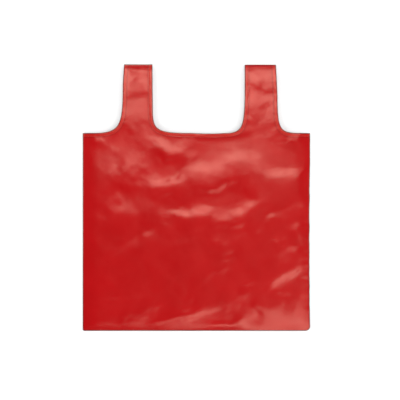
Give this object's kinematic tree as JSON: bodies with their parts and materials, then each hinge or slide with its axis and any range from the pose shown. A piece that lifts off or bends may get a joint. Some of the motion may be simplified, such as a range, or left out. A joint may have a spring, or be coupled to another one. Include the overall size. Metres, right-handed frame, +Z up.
{
  "type": "foldable tote bag",
  "caption": "Foldable red polyester shopping tote laid flat, with hemmed mouth, flared loop handles, folding side thirds and an inner stow pouch with a press stud.",
  "frame": {"origin": "middle of the outline in plan, on the surface that the bag lies on", "axes": "+X across the bag to its right side seam, +Y from the bottom seam to the handles, +Z up out of the front sheet"},
  "size_m": [0.42, 0.492, 0.0072],
  "materials": {
    "red_polyester": "glossy plain-woven taffeta",
    "hem": "turned double hem of the same taffeta",
    "pouch_cloth": "the same taffeta, single layer",
    "seam_thread": "overlocked seam allowance and thread",
    "nickel": "nickel-plated press stud"
  },
  "bodies": {
    "root": {"back_panel_centre": "red_polyester", "bottom_seam_centre": "seam_thread", "mouth_centre_hem_back": "hem"},
    "mouth": {"front_panel_centre": "red_polyester", "mouth_centre_hem_front": "hem"},
    "left_side": {"front_panel_left": "red_polyester", "back_panel_left": "red_polyester", "bottom_seam_left": "seam_thread", "side_seam_left": "seam_thread", "left_shoulder_hem_front": "hem", "left_shoulder_hem_back": "hem", "mouth_left_hem_front": "hem", "mouth_left_hem_back": "hem"},
    "left_handle": {"left_handle_front_strap": "red_polyester", "left_handle_back_strap": "red_polyester", "left_handle_top_seam": "seam_thread", "left_handle_outer_hem_front": "hem", "left_handle_outer_hem_back": "hem", "left_handle_inner_hem_front": "hem", "left_handle_inner_hem_back": "hem"},
    "right_side": {"front_panel_right": "red_polyester", "back_panel_right": "red_polyester", "bottom_seam_right": "seam_thread", "side_seam_right": "seam_thread", "right_shoulder_hem_front": "hem", "right_shoulder_hem_back": "hem", "mouth_right_hem_front": "hem", "mouth_right_hem_back": "hem", "pouch_back": "pouch_cloth", "pouch_front": "pouch_cloth", "pouch_seam_left": "seam_thread", "pouch_seam_right": "seam_thread", "pouch_seam_bottom": "seam_thread", "press_stud_back_cap": "nickel", "press_stud_stud": "nickel", "press_stud_socket": "nickel", "press_stud_front_cap": "nickel"},
    "right_handle": {"right_handle_front_strap": "red_polyester", "right_handle_back_strap": "red_polyester", "right_handle_top_seam": "seam_thread", "right_handle_outer_hem_front": "hem", "right_handle_outer_hem_back": "hem", "right_handle_inner_hem_front": "hem", "right_handle_inner_hem_back": "hem"}
  },
  "joints": [
    {"name": "mouth_open", "type": "hinge", "parent": "root", "child": "mouth", "pos_m": [0, -0.246, 0.00215], "axis": [-1, 0, 0], "range_deg": [-6, 0]},
    {"name": "left_side_fold", "type": "hinge", "parent": "root", "child": "left_side", "pos_m": [-0.07, 0, 0.0118], "axis": [0, 1, 0], "range_deg": [0, 179.5]},
    {"name": "right_side_fold", "type": "hinge", "parent": "root", "child": "right_side", "pos_m": [0.07, 0, 0.0206], "axis": [0, -1, 0], "range_deg": [0, 179.5]},
    {"name": "left_handle_fold", "type": "hinge", "parent": "left_side", "child": "left_handle", "pos_m": [-0.10825, 0.149, 0.0074], "axis": [1, 0, 0], "range_deg": [0, 179.5]},
    {"name": "right_handle_fold", "type": "hinge", "parent": "right_side", "child": "right_handle", "pos_m": [0.11868, 0.149, 0.0074], "axis": [1, 0, 0], "range_deg": [0, 179.5]}
  ]
}
